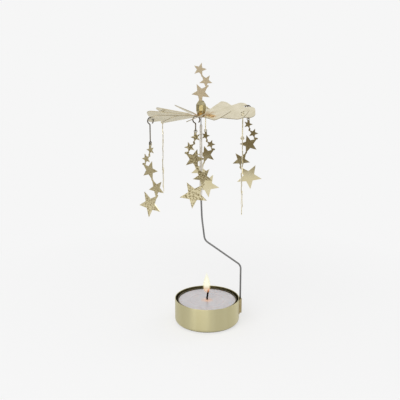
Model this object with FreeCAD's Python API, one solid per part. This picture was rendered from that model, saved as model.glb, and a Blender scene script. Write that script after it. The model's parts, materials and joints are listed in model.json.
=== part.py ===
import FreeCAD, Part
import math
import os

# Rotary tealight holder with stars, in millimetres, +Z up.
# The origin is the centre of the cup's underside. The wire rises on the +X side of the cup.

Vec = FreeCAD.Vector
Z_AXIS = Vec(0, 0, 1)

# Candle cup
cup_outer_d = 41.5
cup_height = 16.0
cup_wall = 0.5
cup_corner_r = 2.8
cup_rim_r = 0.2

# Tealight
can_gap = 1.25
can_height = 14.6
can_wall = 0.2
can_corner_r = 1.2
wax_drop = 0.6
wax_fit = 0.02
pool_r = 13.0
pool_depth = 0.5
wick_d = 1.3
wick_rise = 7.6
wick_lean = 1.1
sustainer_d = 15.0
sustainer_t = 0.25
sustainer_neck_d = 2.6
sustainer_neck_h = 4.5
pocket_gap = 0.05

# Wire stem: foot beside the cup, slanting crank above the flame, leaning run up to the needle's axis
wire_d = 1.1
wire_cup_gap = 0.1
stem_foot_z = 6.0
stem_bend_z = 37.9
stem_bend_r = 4.5
crank_x = -1.6
crank_z = 54.6
crank_r = 5.5
lean_x = -3.4
lean_z = 69.0
lean_r = 60.0
axis_x = -4.0
straight_z = 84.0
straight_r = 120.0

# Strap that holds the wire's foot on the cup
strap_t = 0.45
strap_flange_w = 2.4
strap_below = 0.4
strap_height = 9.6
wire_fit = 0.03

# Sleeve and needle
sleeve_d = 1.75
sleeve_length = 43.5
sleeve_grip = 28.0
needle_d = 0.7
needle_grip = 12.0
needle_over_fan = 6.4
needle_point_h = 1.8
needle_tip_d = 0.12

# Fan: flat hub with twisted blades
fan_over_sleeve = 5.5
fan_t = 0.4
fan_hub_r = 5.0
neck_reach = 0.3
neck_half = 1.1
root_r = 8.2
root_half = 1.9
fan_r = 32.7
tip_half = 6.5
tip_corner_r = 3.6
blade_angle = 24.0
pair_inset = 2.8
single_inset = 0.5
hook_hole_d = 2.2
pendant_count = 6

# Rise and twist of each blade in degrees, bent by hand, in order round the hub
blade_angles = [
    (7.4, 24.0),
    (6.7, 27.0),
    (3.5, 26.0),
    (2.4, 28.0),
    (1.6, 28.0),
    (1.2, 26.0),
    (-0.3, 25.5),
    (1.6, 24.0),
    (4.5, 24.0),
    (6.7, 25.0),
    (6.2, 27.0),
    (4.9, 27.0),
]

# Bead, bush and washer on the fan's hub
bead_d = 6.3
bead_height = 9.0
bead_foot_d = 4.4
bead_foot_h = 3.2
bead_top_d = 3.2
bead_top_h = 2.3
bead_sides = 8
bead_bore_d = 3.0
bush_h = 2.2
bush_fit = 0.02
bush_cone_d = 2.0
bush_cone_h = 1.0
pivot_gap = 0.04
washer_d = 6.0
washer_t = 0.45
spigot_d = 2.4
spigot_rise = 2.2
spigot_bore_d = 1.5
hub_hole_fit = 0.03

# Finial of three joined stars
star_inner_share = 0.43
finial_t = 0.5
finial_low_r = 5.8
finial_mid_r = 4.1
finial_top_r = 4.1
finial_low_rise = 4.6
finial_mid_side = 2.9
finial_mid_rise = 7.0
finial_top_side = 3.6
finial_top_rise = 6.7
finial_link_w = 1.0
finial_low_turn = 45.0
finial_mid_turn = 54.0
finial_top_turn = 2.0
tang_w = 1.6
tang_depth = 1.5
tang_fit = 0.02
tang_rise = 2.0

# Wire hooks
hook_wire_d = 0.7
ring_d = 4.6
ring_seat_gap = 0.25
ring_end_angle = -52.0
stem_offset = 0.4
hook_neck_r = 0.7
eye_d = 2.3
long_stem = 9.8
short_stem = 2.4

# Star chains: radii, places from the first star and turns of the five stars
chain_t = 0.4
ear_d = 2.0
ear_hole_d = 1.2
ear_rise = 0.5
star_1_r = 2.9
star_2_r = 3.2
star_3_r = 6.0
star_4_r = 5.8
star_5_r = 8.3
star_2_side = 3.3
star_2_drop = 5.6
star_3_side = 0.8
star_3_drop = 12.4
star_4_side = 4.0
star_4_drop = 22.7
star_5_side = 1.1
star_5_drop = 33.2
star_1_turn = 35.0
star_2_turn = 38.0
star_3_turn = 73.0
star_4_turn = 50.0
star_5_turn = 47.0
link_w = 1.1

# Turn about the upright of each pendant's ring and of its chain
ring_angles = [37.0, 0.0, 90.0, 180.0, 180.0, -90.0]
chain_angles = [-34.0, 0.0, 90.0, 180.0, 180.0, -90.0]

# One overrun for every cut
overrun = 1.0

# Sizes that follow from the ones above
cup_r = cup_outer_d / 2
wire_r = wire_d / 2
stem_x = cup_r + wire_cup_gap + wire_r
sleeve_bottom_z = straight_z
sleeve_top_z = sleeve_bottom_z + sleeve_length
fan_z = sleeve_top_z + fan_over_sleeve
needle_tip_z = fan_z + needle_over_fan
can_r = cup_r - cup_wall - can_gap
wax_top_z = cup_wall + can_height - wax_drop
hook_r = hook_wire_d / 2
ring_r = (ring_d - hook_wire_d) / 2
ring_drop = ring_r - hook_r - fan_t / 2 - ring_seat_gap
crossing = math.sqrt(ring_r ** 2 - ring_drop ** 2)
eye_r = (eye_d - hook_wire_d) / 2
bead_z = fan_z + fan_t / 2
bead_top_z = bead_z + bead_height
bush_z = needle_tip_z + pivot_gap - bush_cone_h


def flat_prism(points, thickness):
    """Closed outline drawn in XZ, as thick as told, with y=0 in its middle."""
    face = Part.Face(Part.makePolygon(points + [points[0]]))
    face.translate(Vec(0, -thickness / 2, 0))
    return face.extrude(Vec(0, thickness, 0))


def cylinder(radius, height, centre):
    return Part.makeCylinder(radius, height, centre, Z_AXIS)


def revolved(points):
    """Solid of revolution of an outline in XZ about the Z axis."""
    face = Part.Face(Part.makePolygon(points + [points[0]]))
    return face.revolve(Vec(0, 0, 0), Z_AXIS, 360)


def arc_edge(centre, radius, start, end):
    """Arc in XZ from the start angle to the end angle in degrees."""
    def point(angle):
        turn = math.radians(angle)
        return centre + Vec(radius * math.cos(turn), 0, radius * math.sin(turn))
    return Part.Arc(point(start), point((start + end) / 2), point(end)).toShape()


def star_points(centre_x, centre_z, radius, turn):
    """Outline of a five-pointed star in XZ, with its first tip at the given turn."""
    points = []
    for step in range(10):
        reach = radius if step % 2 == 0 else radius * star_inner_share
        angle = math.radians(turn + 36 * step)
        points.append(Vec(centre_x + reach * math.cos(angle), 0, centre_z + reach * math.sin(angle)))
    return points


def cup_shell(radius, height, wall, corner, floor_z):
    """Round pan with a rounded bottom corner, standing on floor_z."""
    inner_corner = corner - wall
    outer = [
        Part.LineSegment(Vec(0, 0, 0), Vec(radius - corner, 0, 0)).toShape(),
        arc_edge(Vec(radius - corner, 0, corner), corner, -90, 0),
        Part.LineSegment(Vec(radius, 0, corner), Vec(radius, 0, height)).toShape(),
        Part.LineSegment(Vec(radius, 0, height), Vec(radius - wall, 0, height)).toShape(),
        Part.LineSegment(Vec(radius - wall, 0, height), Vec(radius - wall, 0, corner)).toShape(),
        arc_edge(Vec(radius - corner, 0, corner), inner_corner, 0, -90),
        Part.LineSegment(Vec(radius - corner, 0, wall), Vec(0, 0, wall)).toShape(),
        Part.LineSegment(Vec(0, 0, wall), Vec(0, 0, 0)).toShape(),
    ]
    shell = Part.Face(Part.Wire(outer)).revolve(Vec(0, 0, 0), Z_AXIS, 360)
    shell.translate(Vec(0, 0, floor_z))
    return shell


def base_cup():
    shell = cup_shell(cup_r, cup_height, cup_wall, cup_corner_r, 0)
    rim = [edge for edge in shell.Edges if edge.BoundBox.ZMin > cup_height - cup_rim_r]
    return shell.makeFillet(cup_rim_r, rim)


def tealight_can():
    return cup_shell(can_r, can_height, can_wall, can_corner_r, cup_wall)


def sustainer(extra):
    """Disc and neck that hold the wick, grown by extra on every side for the pocket in the wax."""
    floor_z = cup_wall + can_wall
    disc = cylinder(sustainer_d / 2 + extra, sustainer_t + extra, Vec(0, 0, floor_z))
    neck = cylinder(sustainer_neck_d / 2 + extra, sustainer_neck_h + extra, Vec(0, 0, floor_z))
    return disc.fuse(neck)


def wick_path_solid(radius):
    """Wick: upright in the wax, then leaning over in one gentle bend."""
    floor_z = cup_wall + can_wall + sustainer_t
    wax_z = wax_top_z - pool_depth
    bend_r = (wick_rise ** 2 + wick_lean ** 2) / (2 * wick_lean)
    sweep = math.degrees(math.asin(wick_rise / bend_r))
    line = Part.LineSegment(Vec(0, 0, floor_z), Vec(0, 0, wax_z)).toShape()
    bend = arc_edge(Vec(bend_r, 0, wax_z), bend_r, 180, 180 - sweep)
    profile = Part.Wire(Part.makeCircle(radius, Vec(0, 0, floor_z), Z_AXIS))
    return Part.Wire([line, bend]).makePipeShell([profile], True, False)


def tealight_wax():
    radius = can_r - can_wall - wax_fit
    bottom = cup_wall + can_wall
    corner = can_corner_r
    body = revolved([
        Vec(0, 0, bottom + wax_fit),
        Vec(radius - corner, 0, bottom + wax_fit),
        Vec(radius, 0, bottom + corner),
        Vec(radius, 0, wax_top_z),
        Vec(pool_r + pool_depth, 0, wax_top_z),
        Vec(pool_r, 0, wax_top_z - pool_depth),
        Vec(0, 0, wax_top_z - pool_depth),
    ])
    return body.cut(sustainer(pocket_gap)).cut(wick_path_solid(wick_d / 2 + pocket_gap))


def wick_sustainer():
    bore = cylinder(wick_d / 2 + pocket_gap, cup_height, Vec(0, 0, cup_wall + can_wall + sustainer_t))
    return sustainer(0).cut(bore)


def rounded_path(points, radii):
    """Straight runs joined by tangent arcs. radii holds one radius for each inner point."""
    edges = []
    last = points[0]
    for index, radius in enumerate(radii):
        corner = points[index + 1]
        back = (points[index] - corner).normalize()
        ahead = (points[index + 2] - corner).normalize()
        half = back.getAngle(ahead) / 2
        reach = radius / math.tan(half)
        start = corner + back * reach
        end = corner + ahead * reach
        middle_way = (back + ahead).normalize()
        centre = corner + middle_way * (radius / math.sin(half))
        edges.append(Part.LineSegment(last, start).toShape())
        edges.append(Part.Arc(start, centre - middle_way * radius, end).toShape())
        last = end
    edges.append(Part.LineSegment(last, points[-1]).toShape())
    return Part.Wire(edges)


def stem_wire():
    top_z = sleeve_bottom_z + sleeve_grip
    points = [
        Vec(stem_x, 0, stem_foot_z),
        Vec(stem_x, 0, stem_bend_z),
        Vec(crank_x, 0, crank_z),
        Vec(lean_x, 0, lean_z),
        Vec(axis_x, 0, straight_z),
        Vec(axis_x, 0, top_z),
    ]
    path = rounded_path(points, [stem_bend_r, crank_r, lean_r, straight_r])
    profile = Part.Wire(Part.makeCircle(wire_r, points[0], Z_AXIS))
    return path.makePipeShell([profile], True, False)


def stem_socket():
    """Strap with two flanges on the cup's wall and a channel round the wire's foot."""
    bottom = stem_foot_z - strap_below
    channel_r = wire_r + wire_fit
    outer_r = channel_r + strap_t
    seat = Vec(stem_x, 0, bottom)
    loop = cylinder(outer_r, strap_height, seat)
    flange = cylinder(cup_r + strap_t, strap_height, Vec(0, 0, bottom))
    half = outer_r + strap_flange_w
    window = Part.makeBox(cup_r, 2 * half, strap_height, Vec(stem_x - cup_r, -half, bottom))
    body = loop.fuse(flange.common(window))
    bridge = Part.makeBox(wire_r + wire_cup_gap, 2 * outer_r, strap_height, Vec(cup_r, -outer_r, bottom))
    body = body.fuse(bridge)
    cup_space = cylinder(cup_r, strap_height + 2 * overrun, Vec(0, 0, bottom - overrun))
    wire_space = cylinder(channel_r, strap_height + overrun, Vec(stem_x, 0, stem_foot_z))
    slot = Part.makeBox(stem_x - cup_r + overrun, 2 * channel_r, strap_height + overrun,
                        Vec(cup_r - overrun, -channel_r, stem_foot_z))
    return body.cut(cup_space).cut(wire_space).cut(slot).removeSplitter()


def stem_sleeve():
    height = sleeve_top_z - sleeve_bottom_z
    centre = Vec(axis_x, 0, sleeve_bottom_z)
    tube = cylinder(sleeve_d / 2, height, centre)
    wire_bore = cylinder(wire_r + wire_fit, sleeve_grip + overrun, centre - Z_AXIS * overrun)
    needle_bottom = Vec(axis_x, 0, sleeve_top_z - needle_grip)
    needle_bore = cylinder(needle_d / 2 + wire_fit, needle_grip + overrun, needle_bottom)
    return tube.cut(wire_bore).cut(needle_bore)


def pivot_needle():
    bottom = sleeve_top_z - needle_grip
    shaft_h = needle_tip_z - needle_point_h - bottom
    shaft = cylinder(needle_d / 2, shaft_h, Vec(axis_x, 0, bottom))
    point = Part.makeCone(needle_d / 2, needle_tip_d / 2, needle_point_h,
                          Vec(axis_x, 0, bottom + shaft_h), Z_AXIS)
    return shaft.fuse(point)


def level_placement(index):
    """Frame of a blade before it is bent: X along the blade, Z up, in the middle of the hub's sheet."""
    turn = blade_angle + 360.0 / len(blade_angles) * index
    return FreeCAD.Placement(Vec(axis_x, 0, fan_z), FreeCAD.Rotation(Z_AXIS, turn))


def blade_placement(index):
    """Frame of a bent blade: X along the blade, Y across it, Z off its face."""
    rise, twist = blade_angles[index]
    lift = FreeCAD.Rotation(Vec(0, 1, 0), -rise)
    roll = FreeCAD.Rotation(Vec(1, 0, 0), twist)
    bend = FreeCAD.Placement(Vec(0, 0, 0), lift.multiply(roll))
    return level_placement(index).multiply(bend)


def section(placement, along, half):
    """Rectangle across a blade at one distance from the hub."""
    low, high = -fan_t / 2, fan_t / 2
    corners = [Vec(along, -half, low), Vec(along, half, low), Vec(along, half, high), Vec(along, -half, high)]
    corners = [placement.multVec(corner) for corner in corners]
    return Part.makePolygon(corners + [corners[0]])


def blade_panel():
    """Flat blade with rounded outer corners, lying in XY."""
    outline = [
        Vec(root_r, -root_half, -fan_t / 2),
        Vec(fan_r, -tip_half, -fan_t / 2),
        Vec(fan_r, tip_half, -fan_t / 2),
        Vec(root_r, root_half, -fan_t / 2),
    ]
    panel = Part.Face(Part.makePolygon(outline + [outline[0]])).extrude(Vec(0, 0, fan_t))
    corners = [e for e in panel.Edges if e.BoundBox.XMin > root_r and e.BoundBox.YLength < fan_t]
    return panel.makeFillet(tip_corner_r, corners)


def blade(index):
    """Level neck on the hub, twisted throat, and the flat panel beyond it."""
    level = level_placement(index)
    bent = blade_placement(index)
    neck_end = fan_hub_r + neck_reach
    neck = Part.makeBox(neck_end - fan_hub_r / 2, 2 * neck_half, fan_t,
                        Vec(fan_hub_r / 2, -neck_half, -fan_t / 2))
    neck.Placement = level.multiply(neck.Placement)
    throat = Part.makeLoft([section(level, neck_end, neck_half), section(bent, root_r, root_half)], True, True)
    panel = blade_panel()
    panel.Placement = bent
    return [neck, throat, panel]


def blade_of(number):
    """Pendants hang on every second blade. Number 1 is on the seventh."""
    return (2 * number + 4) % len(blade_angles)


def is_long(number):
    return number % 2 == 1


def is_single(number):
    """Two of the hooks hang in one hole near the blade's end, the others in a pair of holes."""
    return number % 3 == 1


def hang_point(number):
    """Middle of the strip that a hook's ring wraps round."""
    inset = single_inset if is_single(number) else pair_inset
    return blade_placement(blade_of(number)).multVec(Vec(fan_r - inset, 0, 0))


def ring_frame(number):
    """Centre of a hook's ring, and the way along the strip, away from the hub."""
    face_normal = blade_placement(blade_of(number)).Rotation.multVec(Z_AXIS)
    ring_normal = FreeCAD.Rotation(Z_AXIS, ring_angles[number - 1]).multVec(Vec(0, 1, 0))
    outward = level_placement(blade_of(number)).Rotation.multVec(Vec(1, 0, 0))
    along = ring_normal.cross(face_normal).normalize()
    if along.dot(outward) < 0:
        along = along * -1
    upward = along.cross(ring_normal).normalize()
    if upward.z < 0:
        upward = upward * -1
    return hang_point(number) - upward * ring_drop, along


def hook_holes():
    """Holes where the hooks' rings pass through the blades."""
    holes = []
    for number in range(1, pendant_count + 1):
        normal = blade_placement(blade_of(number)).Rotation.multVec(Z_AXIS)
        _, along = ring_frame(number)
        for side in (-1,) if is_single(number) else (-1, 1):
            start = hang_point(number) + along * (side * crossing) - normal * overrun
            holes.append(Part.makeCylinder(hook_hole_d / 2, 2 * overrun, start, normal))
    return Part.makeCompound(holes)


def rotor_fan():
    sheet = cylinder(fan_hub_r, fan_t, Vec(axis_x, 0, fan_z - fan_t / 2))
    for index in range(len(blade_angles)):
        sheet = sheet.multiFuse(blade(index))
    centre_hole = cylinder(spigot_d / 2 + hub_hole_fit, fan_t + 2 * overrun,
                           Vec(axis_x, 0, fan_z - fan_t / 2 - overrun))
    return sheet.cut(centre_hole).cut(hook_holes())


def bead_ring(diameter, height):
    """Many-sided outline across the bead at one height above its foot."""
    points = []
    for side in range(bead_sides + 1):
        angle = math.radians(360.0 / bead_sides * (side + 1 / 2))
        spot = Vec(math.cos(angle), math.sin(angle), 0) * (diameter / 2)
        points.append(Vec(axis_x, 0, bead_z + height) + spot)
    return Part.makePolygon(points)


def hub_bead():
    rings = [
        bead_ring(bead_foot_d, 0),
        bead_ring(bead_d, bead_foot_h),
        bead_ring(bead_d, bead_height - bead_top_h),
        bead_ring(bead_top_d, bead_height),
    ]
    body = Part.makeLoft(rings, True, True)
    bore_h = bush_z + bush_h - bead_z
    body = body.cut(cylinder(bead_bore_d / 2, bore_h + overrun, Vec(axis_x, 0, bead_z - overrun)))
    return body.cut(tang(tang_fit))


def tang(extra):
    """Foot of the finial that stands in the bead's slot."""
    bottom = bead_top_z - tang_depth - extra
    return Part.makeBox(tang_w + 2 * extra, finial_t + 2 * extra, tang_depth + tang_rise + extra,
                        Vec(axis_x - tang_w / 2 - extra, -finial_t / 2 - extra, bottom))


def pivot_bush():
    body = cylinder(bead_bore_d / 2 - bush_fit, bush_h, Vec(axis_x, 0, bush_z))
    cone = Part.makeCone(bush_cone_d / 2, 0, bush_cone_h, Vec(axis_x, 0, bush_z), Z_AXIS)
    return body.cut(cone)


def hub_washer():
    disc_z = fan_z - fan_t / 2 - washer_t
    disc = cylinder(washer_d / 2, washer_t, Vec(axis_x, 0, disc_z))
    spigot = cylinder(spigot_d / 2, washer_t + fan_t + spigot_rise, Vec(axis_x, 0, disc_z))
    bore_h = washer_t + fan_t + spigot_rise + 2 * overrun
    bore = cylinder(spigot_bore_d / 2, bore_h, Vec(axis_x, 0, disc_z - overrun))
    return disc.fuse(spigot).cut(bore)


def hook_wire(stem):
    """Open ring, short neck and straight stem, drawn in XZ round the ring's centre."""
    neck_x = -stem_offset - hook_neck_r
    neck_z = -math.sqrt((ring_r + hook_neck_r) ** 2 - neck_x ** 2)
    join_angle = math.degrees(math.atan2(neck_z, neck_x)) % 360
    bottom = Vec(-stem_offset, 0, neck_z - stem)
    edges = [
        Part.LineSegment(bottom, Vec(-stem_offset, 0, neck_z)).toShape(),
        arc_edge(Vec(neck_x, 0, neck_z), hook_neck_r, 0, join_angle - 180),
        arc_edge(Vec(0, 0, 0), ring_r, join_angle, ring_end_angle),
    ]
    profile = Part.Wire(Part.makeCircle(hook_r, bottom, Z_AXIS))
    return Part.Wire(edges).makePipeShell([profile], True, False), bottom


def tip(star, step):
    """Tip of a star, counted round from its first tip."""
    x, z, radius, turn = star
    angle = math.radians(turn + 72 * step)
    return Vec(x + radius * math.cos(angle), 0, z + radius * math.sin(angle))


def link(start, end, thickness, width):
    """Small bar with round ends between the tips of two stars."""
    run = end - start
    bar = Part.makeBox(run.Length, thickness, width, Vec(0, -thickness / 2, -width / 2))
    for x in (0, run.Length):
        bar = bar.fuse(Part.makeCylinder(width / 2, thickness, Vec(x, -thickness / 2, 0), Vec(0, 1, 0)))
    bar.rotate(Vec(0, 0, 0), Vec(0, 1, 0), -math.degrees(math.atan2(run.z, run.x)))
    bar.translate(start)
    return bar


def top_stars():
    """Three stars, each standing with one tip on a tip of the star below."""
    low = (axis_x, bead_top_z + finial_low_rise, finial_low_r, finial_low_turn)
    mid = (low[0] + finial_mid_side, low[1] + finial_mid_rise, finial_mid_r, finial_mid_turn)
    top = (mid[0] - finial_top_side, mid[1] + finial_top_rise, finial_top_r, finial_top_turn)
    shapes = [flat_prism(star_points(*star), finial_t) for star in (mid, top)]
    shapes.append(link(tip(low, 0), tip(mid, 3), finial_t, finial_link_w))
    shapes.append(link(tip(mid, 1), tip(top, 4), finial_t, finial_link_w))
    shapes.append(tang(0))
    bead_space = Part.makeBox(2 * finial_low_r, 2 * finial_t, finial_low_r,
                              Vec(axis_x - finial_low_r, -finial_t, bead_top_z + tang_fit - finial_low_r))
    return flat_prism(star_points(*low), finial_t).cut(bead_space).multiFuse(shapes).removeSplitter()


def star_chain():
    """Five stars joined tip to tip, with an ear for the hook, in XZ round the hole in the ear."""
    first_z = -ear_rise - star_1_r
    first = (0, first_z, star_1_r, star_1_turn)
    second = (-star_2_side, first_z - star_2_drop, star_2_r, star_2_turn)
    third = (-star_3_side, first_z - star_3_drop, star_3_r, star_3_turn)
    fourth = (star_4_side, first_z - star_4_drop, star_4_r, star_4_turn)
    fifth = (-star_5_side, first_z - star_5_drop, star_5_r, star_5_turn)
    shapes = [flat_prism(star_points(*star), chain_t) for star in (second, third, fourth, fifth)]
    shapes.append(link(tip(first, 3), tip(second, 0), chain_t, link_w))
    shapes.append(link(tip(second, 3), tip(third, 1), chain_t, link_w))
    shapes.append(link(tip(third, 3), tip(fourth, 1), chain_t, link_w))
    shapes.append(link(tip(fourth, 3), tip(fifth, 0), chain_t, link_w))
    shapes.append(link(Vec(0, 0, first_z), Vec(0, 0, -ear_rise), chain_t, link_w))
    shapes.append(Part.makeCylinder(ear_d / 2, chain_t, Vec(0, -chain_t / 2, 0), Vec(0, 1, 0)))
    hole = Part.makeCylinder(ear_hole_d / 2, chain_t + 2 * overrun,
                             Vec(0, -chain_t / 2 - overrun, 0), Vec(0, 1, 0))
    body = flat_prism(star_points(*first), chain_t).multiFuse(shapes)
    return body.removeSplitter().cut(hole)


def placed(shape, centre, degrees):
    """Shape turned about the upright through its own origin, then moved to a point."""
    shape.rotate(Vec(0, 0, 0), Z_AXIS, degrees)
    shape.translate(centre)
    return shape


def pendant(number):
    """Hook and chain of one pendant in place."""
    centre, _ = ring_frame(number)
    upper, bottom = hook_wire(long_stem if is_long(number) else short_stem)
    ring_turn = ring_angles[number - 1]
    chain_turn = chain_angles[number - 1]
    hole = centre + FreeCAD.Rotation(Z_AXIS, ring_turn).multVec(bottom) - Z_AXIS * (2 * eye_r)
    eye = Part.makeTorus(eye_r, hook_r, Z_AXIS * eye_r, Vec(1, 0, 0))
    hook = placed(upper, centre, ring_turn).fuse(placed(eye, hole, chain_turn))
    return hook, placed(star_chain(), hole, chain_turn)


def all_parts():
    parts = {
        "base_cup": base_cup(),
        "stem_socket": stem_socket(),
        "stem_wire": stem_wire(),
        "stem_sleeve": stem_sleeve(),
        "pivot_needle": pivot_needle(),
        "tealight_can": tealight_can(),
        "tealight_wax": tealight_wax(),
        "wick_sustainer": wick_sustainer(),
        "tealight_wick": wick_path_solid(wick_d / 2),
        "rotor_fan": rotor_fan(),
        "hub_bead": hub_bead(),
        "pivot_bush": pivot_bush(),
        "hub_washer": hub_washer(),
        "top_stars": top_stars(),
    }
    for number in range(1, pendant_count + 1):
        hook, chain = pendant(number)
        parts["pendant_hook_%d" % number] = hook
        parts["star_chain_%d" % number] = chain
    return parts


def main():
    os.makedirs("parts", exist_ok=True)
    for name, shape in all_parts().items():
        shape.exportStep("parts/%s.step" % name)
        box = shape.BoundBox
        print("%-16s solids %d valid %s volume %.2f z %.2f to %.2f"
              % (name, len(shape.Solids), shape.isValid(), shape.Volume, box.ZMin, box.ZMax))


main()
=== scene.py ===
# %% [markdown]
# This lesson dresses a rotary tealight holder: a sheet metal cup with a tealight, a bent wire that carries a
# needle, and a rotor of twelve twisted blades that turns on the needle and is hung with chains of flat stars.
# The CAD frame gives every piece its place. We start by loading it and keeping the size of its box.

# %% Load the frame
import json
import math
import bmesh
import bpy
from mathutils import Matrix, Vector


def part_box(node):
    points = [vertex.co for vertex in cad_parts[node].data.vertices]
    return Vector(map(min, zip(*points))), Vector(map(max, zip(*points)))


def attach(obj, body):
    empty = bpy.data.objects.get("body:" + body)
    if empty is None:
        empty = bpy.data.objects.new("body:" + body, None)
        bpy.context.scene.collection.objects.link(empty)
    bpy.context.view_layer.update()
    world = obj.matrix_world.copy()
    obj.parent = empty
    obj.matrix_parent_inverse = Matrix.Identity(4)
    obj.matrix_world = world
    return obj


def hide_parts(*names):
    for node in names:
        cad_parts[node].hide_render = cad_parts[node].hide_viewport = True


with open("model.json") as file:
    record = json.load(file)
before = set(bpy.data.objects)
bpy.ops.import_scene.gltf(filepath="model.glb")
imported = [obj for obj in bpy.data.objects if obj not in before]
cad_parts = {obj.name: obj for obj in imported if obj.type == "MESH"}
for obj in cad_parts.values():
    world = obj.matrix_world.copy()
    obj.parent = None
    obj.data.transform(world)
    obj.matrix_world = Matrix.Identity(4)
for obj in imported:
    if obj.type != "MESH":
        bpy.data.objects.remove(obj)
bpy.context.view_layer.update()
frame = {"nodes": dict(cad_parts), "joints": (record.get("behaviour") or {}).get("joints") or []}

MM = 0.001
scene = bpy.context.scene
nodes = frame["nodes"]

# %% [markdown]
# The camera comes first, because every later choice is judged through it. The photograph was taken from a
# little above the rotor, looking down with a short telephoto lens. The ellipse of the cup's rim tells the
# angle: the flatter it is, the lower the camera stands. A camera tracker could find it too, but a round cup has
# no corners for one, so the numbers here were matched by measuring the render against the photograph.

# %% Camera
CAMERA_PLACE = Vector((-4.6, -392.5, 178.6)) * MM
CAMERA_DOWN = 14.0
LENS = 58.5

camera_data = bpy.data.cameras.new("camera")
camera_data.lens = LENS
camera_data.clip_start = 10 * MM
camera = bpy.data.objects.new("camera", camera_data)
camera.location = CAMERA_PLACE
camera.rotation_euler = (math.radians(90 - CAMERA_DOWN), 0, 0)
scene.collection.objects.link(camera)
scene.camera = camera
scene.view_settings.view_transform = "Standard"
print("camera lens", LENS, "mm, looking", CAMERA_DOWN, "degrees down")

# %% [markdown]
# Colours are easiest to read off as the 0 to 255 numbers of a screen, but a shader wants linear light. One
# small function turns the first into the second, and all our finishes use it.

# %% Colours


def screen(red, green, blue):
    """Linear colour of a screen colour given as 0 to 255."""
    def linear(value):
        value = value / 255
        return value / 12.92 if value <= 0.04045 else ((value + 0.055) / 1.055) ** 2.4
    return (linear(red), linear(green), linear(blue), 1.0)


PAPER = screen(246, 246, 246)
print("paper in linear light:", [round(channel, 3) for channel in PAPER[:3]])

# %% [markdown]
# A finish is a small network of nodes. Every one starts from an empty tree with its output node, and nearly
# every one has a Principled shader, which covers metal, wax and cotton alike. Making the nodes by hand in the
# editor would give the same result, but a function keeps the start of all finishes the same.

# %% Empty materials


def empty_material(name):
    """Material with nothing but its output node."""
    material = bpy.data.materials.new(name)
    material.use_nodes = True
    tree = material.node_tree
    tree.nodes.clear()
    return material, tree, tree.nodes.new("ShaderNodeOutputMaterial")


def blank_material(name):
    """Material with its output node and a Principled shader."""
    material, tree, output = empty_material(name)
    shader = tree.nodes.new("ShaderNodeBsdfPrincipled")
    tree.links.new(shader.outputs["BSDF"], output.inputs["Surface"])
    return material, tree, shader


print("empty materials ready")

# %% [markdown]
# No real surface is one flat tone. A noise pattern read from object coordinates, in metres, gives the grain,
# and two small helpers turn its grey values into whatever the shader wants: a number between two limits, or
# a mix of two colours. Object coordinates hold still when a body moves, and need no unwrapping.

# %% Grain, numbers and colours


def grain(tree, size, stretch=(1, 1, 1), detail=4.0):
    """Noise in object coordinates, with features of about size metres, drawn out along an axis by stretch."""
    coordinates = tree.nodes.new("ShaderNodeTexCoord")
    mapping = tree.nodes.new("ShaderNodeMapping")
    mapping.inputs["Scale"].default_value = [1 / s for s in stretch]
    noise = tree.nodes.new("ShaderNodeTexNoise")
    noise.inputs["Scale"].default_value = 1 / size
    noise.inputs["Detail"].default_value = detail
    tree.links.new(coordinates.outputs["Object"], mapping.inputs["Vector"])
    tree.links.new(mapping.outputs["Vector"], noise.inputs["Vector"])
    return noise.outputs["Fac"]


def remap(tree, value, low, high, from_low=0.3, from_high=0.7):
    """Value moved from one range to another, and held inside it."""
    node = tree.nodes.new("ShaderNodeMapRange")
    node.inputs["From Min"].default_value = from_low
    node.inputs["From Max"].default_value = from_high
    node.inputs["To Min"].default_value = low
    node.inputs["To Max"].default_value = high
    tree.links.new(value, node.inputs["Value"])
    return node.outputs["Result"]


def blend(tree, factor, first, second):
    """Colour between two colours, each a constant or another node's colour."""
    node = tree.nodes.new("ShaderNodeMix")
    node.data_type = "RGBA"
    tree.links.new(factor, node.inputs["Factor"])
    for socket, colour in ((node.inputs[6], first), (node.inputs[7], second)):
        if isinstance(colour, tuple):
            socket.default_value = colour
        else:
            tree.links.new(colour, socket)
    return node.outputs[2]


print("grain helpers ready")

# %% [markdown]
# Most of our metals differ only in their tones, their grain and how rough they are. So one maker lets a single
# grain mix two tones, vary the roughness and lift a faint bump, and each finish gives it its own numbers. One
# grain for all three looks truer than three, because on real metal a dull spot is also a rough one.

# %% Finish maker


def bump(tree, shader, height, depth):
    """Faint relief from a pattern, depth metres from its lows to its highs."""
    node = tree.nodes.new("ShaderNodeBump")
    node.inputs["Strength"].default_value = 1.0
    node.inputs["Distance"].default_value = depth
    tree.links.new(height, node.inputs["Height"])
    tree.links.new(node.outputs["Normal"], shader.inputs["Normal"])


def grained(name, dark, light, size, rough, metallic=1.0, stretch=(1, 1, 1), depth=0.0):
    """Finish with two tones, a roughness range and a bump that share one grain."""
    material, tree, shader = blank_material(name)
    pattern = grain(tree, size, stretch)
    shader.inputs["Metallic"].default_value = metallic
    tree.links.new(blend(tree, remap(tree, pattern, 0, 1), dark, light), shader.inputs["Base Color"])
    tree.links.new(remap(tree, pattern, rough[0], rough[1]), shader.inputs["Roughness"])
    if depth:
        bump(tree, shader, pattern, depth)
    return material


print("finish maker ready")
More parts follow.
